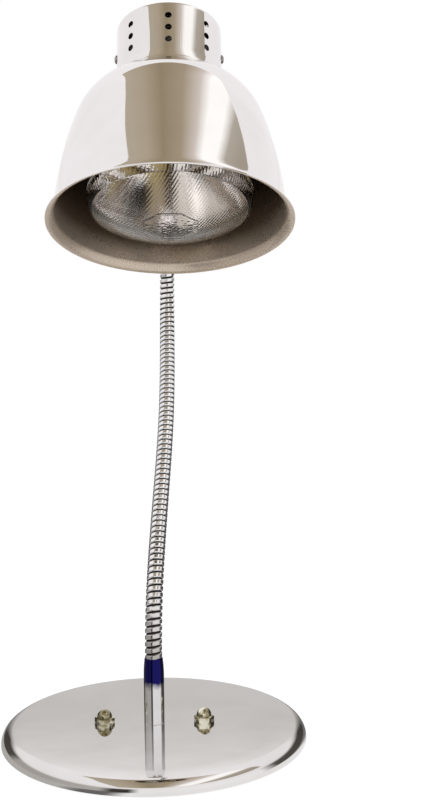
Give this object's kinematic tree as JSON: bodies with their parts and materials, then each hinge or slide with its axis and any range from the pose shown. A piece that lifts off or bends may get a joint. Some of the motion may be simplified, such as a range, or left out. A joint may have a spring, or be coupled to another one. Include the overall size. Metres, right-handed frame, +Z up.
{
  "type": "buffet heat lamp station",
  "caption": "Free-standing heat lamp: weighted round base, ribbed gooseneck that bends, polished dome shade with a vented cap and a reflector bulb.",
  "frame": {"origin": "centre of the foot pad's underside, on the counter", "axes": "+Z up; the shade hangs towards -Y, the front; +X to the right, seen from the front"},
  "size_m": [0.25, 0.405, 0.5764],
  "materials": {
    "polished_steel": "mirror-polished stainless steel sheet",
    "chrome_plate": "bright chrome plate",
    "plain_steel": "zinc-plated steel",
    "ballast": "cast iron under a dark primer",
    "pad": "fine-ribbed non-slip rubber",
    "grommet": "smooth soft rubber",
    "brass": "lacquered pale brass",
    "bulb_brass": "thin rolled brass",
    "porcelain": "glazed white porcelain",
    "lens_glass": "clear pressed glass with a stippled pattern",
    "silvered_glass": "pressed glass silvered on the inside",
    "black_glass": "black vitreous insulator",
    "solder": "dull solder",
    "tungsten": "drawn tungsten wire"
  },
  "bodies": {
    "base": {"base_cover": "polished_steel", "ballast_plate": "ballast", "foot_pad": "pad", "cord_grommet": "grommet", "clamp_bolts": "plain_steel", "acorn_nuts": "brass", "stem_sleeve": "chrome_plate", "stem_stud": "plain_steel", "stem_washer": "plain_steel", "stem_locknut": "plain_steel", "neck_link_01": "chrome_plate"},
    "neck_02": {"neck_link_02": "chrome_plate"},
    "neck_03": {"neck_link_03": "chrome_plate"},
    "neck_04": {"neck_link_04": "chrome_plate"},
    "neck_05": {"neck_link_05": "chrome_plate"},
    "neck_06": {"neck_link_06": "chrome_plate"},
    "neck_07": {"neck_link_07": "chrome_plate"},
    "neck_08": {"neck_link_08": "chrome_plate"},
    "neck_09": {"neck_link_09": "chrome_plate"},
    "neck_10": {"neck_link_10": "chrome_plate"},
    "neck_11": {"neck_link_11": "chrome_plate"},
    "neck_12": {"neck_link_12": "chrome_plate"},
    "neck_13": {"neck_link_13": "chrome_plate"},
    "neck_14": {"neck_link_14": "chrome_plate"},
    "head": {"socket_cap": "polished_steel", "neck_end_sleeve": "chrome_plate", "end_washer": "chrome_plate", "end_locknut": "plain_steel", "end_stud": "plain_steel", "shade_dome": "polished_steel", "cap_screws": "chrome_plate", "collar_screws": "chrome_plate", "holder_strap": "plain_steel", "lampholder_body": "porcelain", "holder_shell": "bulb_brass", "centre_contact": "bulb_brass", "holder_screws": "plain_steel", "neck_link_15": "chrome_plate"},
    "bulb": {"bulb_contact": "solder", "bulb_insulator": "black_glass", "bulb_screw_shell": "bulb_brass", "bulb_skirt": "bulb_brass", "bulb_reflector": "silvered_glass", "bulb_lens": "lens_glass", "filament_posts": "tungsten", "bulb_filament": "tungsten"}
  },
  "joints": [
    {"name": "lower_bend_1", "type": "hinge", "parent": "base", "child": "neck_02", "pos_m": [0.00075, 0.00909, 0.10849], "axis": [0.9994, -0.0145, -0.0318], "range_deg": [-7.5, 7.5]},
    {"name": "lower_bend_2", "type": "hinge", "parent": "neck_02", "child": "neck_03", "pos_m": [0.00264, 0.03266, 0.14444], "axis": [0.9986, -0.035, -0.0389], "range_deg": [-7.5, 7.5]},
    {"name": "sway_1", "type": "hinge", "parent": "neck_03", "child": "neck_04", "pos_m": [0.00509, 0.06194, 0.17611], "axis": [0, 0.7254, -0.6884], "range_deg": [-7.5, 7.5]},
    {"name": "lower_bend_3", "type": "hinge", "parent": "neck_04", "child": "neck_05", "pos_m": [0.00772, 0.09162, 0.20739], "axis": [0.9981, -0.042, -0.0443], "range_deg": [-7.5, 7.5]},
    {"name": "lower_bend_4", "type": "hinge", "parent": "neck_05", "child": "neck_06", "pos_m": [0.00999, 0.12132, 0.23868], "axis": [0.999, -0.03, -0.0316], "range_deg": [-7.5, 7.5]},
    {"name": "sway_2", "type": "hinge", "parent": "neck_06", "child": "neck_07", "pos_m": [0.0113, 0.15104, 0.27], "axis": [0, 0.7254, -0.6884], "range_deg": [-7.5, 7.5]},
    {"name": "lower_bend_5", "type": "hinge", "parent": "neck_07", "child": "neck_08", "pos_m": [0.01168, 0.18078, 0.30134], "axis": [1, 0, 0], "range_deg": [-7.5, 7.5]},
    {"name": "upper_bend_1", "type": "hinge", "parent": "neck_08", "child": "neck_09", "pos_m": [0.01168, 0.20733, 0.33533], "axis": [1, 0, 0], "range_deg": [-7.5, 7.5]},
    {"name": "sway_3", "type": "hinge", "parent": "neck_09", "child": "neck_10", "pos_m": [0.01196, 0.21981, 0.37614], "axis": [0, 0.9997, -0.0262], "range_deg": [-7.5, 7.5]},
    {"name": "upper_bend_2", "type": "hinge", "parent": "neck_10", "child": "neck_11", "pos_m": [0.013, 0.20672, 0.41642], "axis": [0.9994, 0.0212, -0.0277], "range_deg": [-7.5, 7.5]},
    {"name": "upper_bend_3", "type": "hinge", "parent": "neck_11", "child": "neck_12", "pos_m": [0.0147, 0.17436, 0.44455], "axis": [0.999, 0.038, -0.0215], "range_deg": [-7.5, 7.5]},
    {"name": "sway_4", "type": "hinge", "parent": "neck_12", "child": "neck_13", "pos_m": [0.01639, 0.13575, 0.4638], "axis": [0, 0.3987, 0.9171], "range_deg": [-7.5, 7.5]},
    {"name": "upper_bend_4", "type": "hinge", "parent": "neck_13", "child": "neck_14", "pos_m": [0.01771, 0.09601, 0.48071], "axis": [0.9997, 0.0242, -0.0101], "range_deg": [-7.5, 7.5]},
    {"name": "upper_bend_5", "type": "hinge", "parent": "neck_14", "child": "head", "pos_m": [0.01856, 0.05614, 0.49731], "axis": [0.9999, 0.0121, -0.005], "range_deg": [-7.5, 7.5]},
    {"name": "bulb_unscrew", "type": "slide", "parent": "head", "child": "bulb", "axis": [0, -0.3843, -0.9232], "range_m": [0, 0.025]}
  ],
  "couplings": [
    {"joint": "lower_bend_2", "follows": "lower_bend_1", "ratio": 1},
    {"joint": "lower_bend_3", "follows": "lower_bend_1", "ratio": 1},
    {"joint": "lower_bend_4", "follows": "lower_bend_1", "ratio": 1},
    {"joint": "lower_bend_5", "follows": "lower_bend_1", "ratio": 1},
    {"joint": "sway_2", "follows": "sway_1", "ratio": 1},
    {"joint": "sway_3", "follows": "sway_1", "ratio": 1},
    {"joint": "sway_4", "follows": "sway_1", "ratio": 1},
    {"joint": "upper_bend_2", "follows": "upper_bend_1", "ratio": 1},
    {"joint": "upper_bend_3", "follows": "upper_bend_1", "ratio": 1},
    {"joint": "upper_bend_4", "follows": "upper_bend_1", "ratio": 1},
    {"joint": "upper_bend_5", "follows": "upper_bend_1", "ratio": 1}
  ]
}
